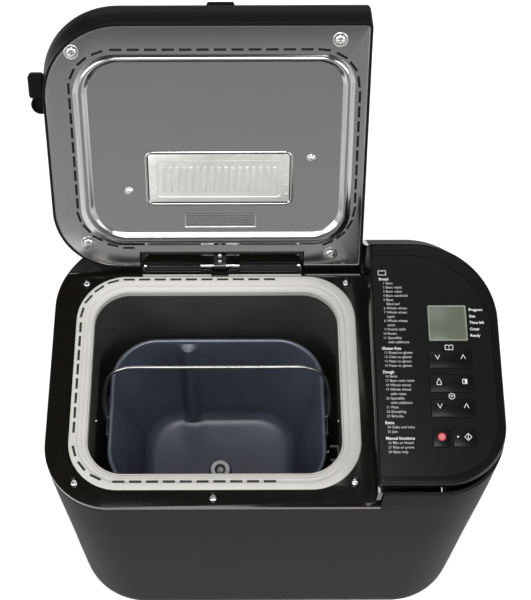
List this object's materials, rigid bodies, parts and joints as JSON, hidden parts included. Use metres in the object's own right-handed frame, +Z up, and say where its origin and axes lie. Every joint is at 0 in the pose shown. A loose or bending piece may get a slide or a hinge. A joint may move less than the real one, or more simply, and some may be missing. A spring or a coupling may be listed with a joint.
{
  "type": "bread machine",
  "caption": "Household bread machine with its lid open: lift-out baking pan with bail, kneading blade, ingredient dispenser in the lid and a control tower.",
  "frame": {"origin": "on the surface it stands on, under the middle of its bounding box with the lid open", "axes": "+Z up, front towards -Y, control tower towards +X, lid hinge along X"},
  "size_m": [0.426, 0.408, 0.5049],
  "materials": {
    "body_grey": "fine satin texture",
    "gloss_black": "high gloss",
    "panel_film": "semi-gloss film",
    "ring_grey": "satin",
    "liner_steel": "polished, slightly dark",
    "steel": "bright",
    "dark_steel": "dark satin",
    "pan_coating": "non-stick coating",
    "aluminium": "satin",
    "chrome": "plated",
    "rubber": "dull",
    "board": "lacquered board",
    "lcd": "display window",
    "motor_steel": "plated"
  },
  "bodies": {
    "housing": {"base_tray": "body_grey", "foot_front_left": "rubber", "foot_front_right": "rubber", "foot_rear_left": "rubber", "foot_rear_right": "rubber", "body_shell": "body_grey", "top_deck": "gloss_black", "chamber_ring": "ring_grey", "chamber": "dark_steel", "heater": "steel", "sensor_rail": "steel", "guide_rail": "steel", "chassis": "steel", "shaft_bearing": "aluminium", "motor": "motor_steel", "pan_seat": "steel", "drive_belt": "rubber", "power_inlet": "gloss_black", "hinge_plate": "steel", "hinge_pin": "steel", "panel_bezel": "gloss_black", "panel_film": "panel_film", "display": "lcd", "control_board": "board", "deck_screw_1": "chrome", "deck_screw_2": "chrome", "deck_screw_3": "chrome", "deck_screw_4": "chrome", "deck_screw_5": "chrome"},
    "lid": {"lid_shell": "gloss_black", "lid_liner": "liner_steel", "dispenser_hopper": "aluminium", "vent_grille": "steel", "dispenser_solenoid": "motor_steel", "hinge_cover": "gloss_black", "hinge_arm": "gloss_black", "lid_screw_1": "chrome", "lid_screw_2": "chrome", "lid_screw_3": "chrome", "lid_screw_4": "chrome", "side_grip": "body_grey"},
    "flap": {"dispenser_flap": "aluminium"},
    "cover": {"dispenser_cover": "gloss_black"},
    "pan_unit": {"pan": "pan_coating", "pan_bracket_left": "pan_coating", "pan_bracket_right": "pan_coating", "pan_bush": "steel"},
    "bail_unit": {"bail": "chrome"},
    "blade": {"kneading_blade": "pan_coating", "blade_shaft": "steel"},
    "drive": {"drive_shaft": "steel", "drive_coupling": "steel", "large_pulley": "panel_film"},
    "motor_rotor": {"motor_pulley": "steel"},
    "program_key_cap": {"program_key": "panel_film"},
    "loaf_key_cap": {"loaf_key": "panel_film"},
    "timer_key_cap": {"timer_key": "panel_film"},
    "stop_key_cap": {"stop_key": "panel_film"},
    "start_key_cap": {"start_key": "panel_film"}
  },
  "joints": [
    {"name": "lid_hinge", "type": "hinge", "parent": "housing", "child": "lid", "pos_m": [-0.042, 0.04477, 0.2977], "axis": [-1, 0, 0], "range_deg": [-121.1, 0]},
    {"name": "dispenser_flap_hinge", "type": "hinge", "parent": "lid", "child": "flap", "pos_m": [-0.042, 0.08219, 0.35606], "axis": [1, 0, 0], "range_deg": [0, 75]},
    {"name": "dispenser_cover_hinge", "type": "hinge", "parent": "lid", "child": "cover", "pos_m": [-0.042, 0.1239, 0.31723], "axis": [-1, 0, 0], "range_deg": [0, 80]},
    {"name": "pan_lift", "type": "slide", "parent": "housing", "child": "pan_unit", "axis": [0, 0, 1], "range_m": [0, 0.3]},
    {"name": "bail_swing", "type": "hinge", "parent": "pan_unit", "child": "bail_unit", "pos_m": [-0.042, -0.07633, 0.211], "axis": [1, 0, 0], "range_deg": [-65.6, 98.4]},
    {"name": "drive_spin", "type": "hinge", "parent": "housing", "child": "drive", "pos_m": [-0.042, -0.07633, 0.04], "axis": [0, 0, 1], "continuous": true},
    {"name": "blade_spin", "type": "hinge", "parent": "pan_unit", "child": "blade", "pos_m": [-0.042, -0.07633, 0.056], "axis": [0, 0, 1], "continuous": true},
    {"name": "motor_spin", "type": "hinge", "parent": "housing", "child": "motor_rotor", "pos_m": [0.144, -0.06283, 0.018], "axis": [0, 0, 1], "continuous": true},
    {"name": "program_rock", "type": "hinge", "parent": "housing", "child": "program_key_cap", "pos_m": [0.16675, -0.07765, 0.34389], "axis": [0, 0.9925, 0.1219], "range_deg": [-1.2, 1.2], "stiffness_Nm_per_rad": 1.2},
    {"name": "loaf_rock", "type": "hinge", "parent": "housing", "child": "loaf_key_cap", "pos_m": [0.16675, -0.09968, 0.34119], "axis": [0, 0.9925, 0.1219], "range_deg": [-1.2, 1.2], "stiffness_Nm_per_rad": 1.2},
    {"name": "timer_rock", "type": "hinge", "parent": "housing", "child": "timer_key_cap", "pos_m": [0.16675, -0.12202, 0.33845], "axis": [0, 0.9925, 0.1219], "range_deg": [-1.2, 1.2], "stiffness_Nm_per_rad": 1.2},
    {"name": "stop_press", "type": "slide", "parent": "housing", "child": "stop_key_cap", "axis": [0, 0.1219, -0.9925], "range_m": [0, 0.0008], "stiffness_N_per_m": 1500},
    {"name": "start_press", "type": "slide", "parent": "housing", "child": "start_key_cap", "axis": [0, 0.1219, -0.9925], "range_m": [0, 0.0008], "stiffness_N_per_m": 1500}
  ],
  "couplings": [
    {"joint": "blade_spin", "follows": "drive_spin", "ratio": 1},
    {"joint": "motor_spin", "follows": "drive_spin", "ratio": 6.4}
  ]
}
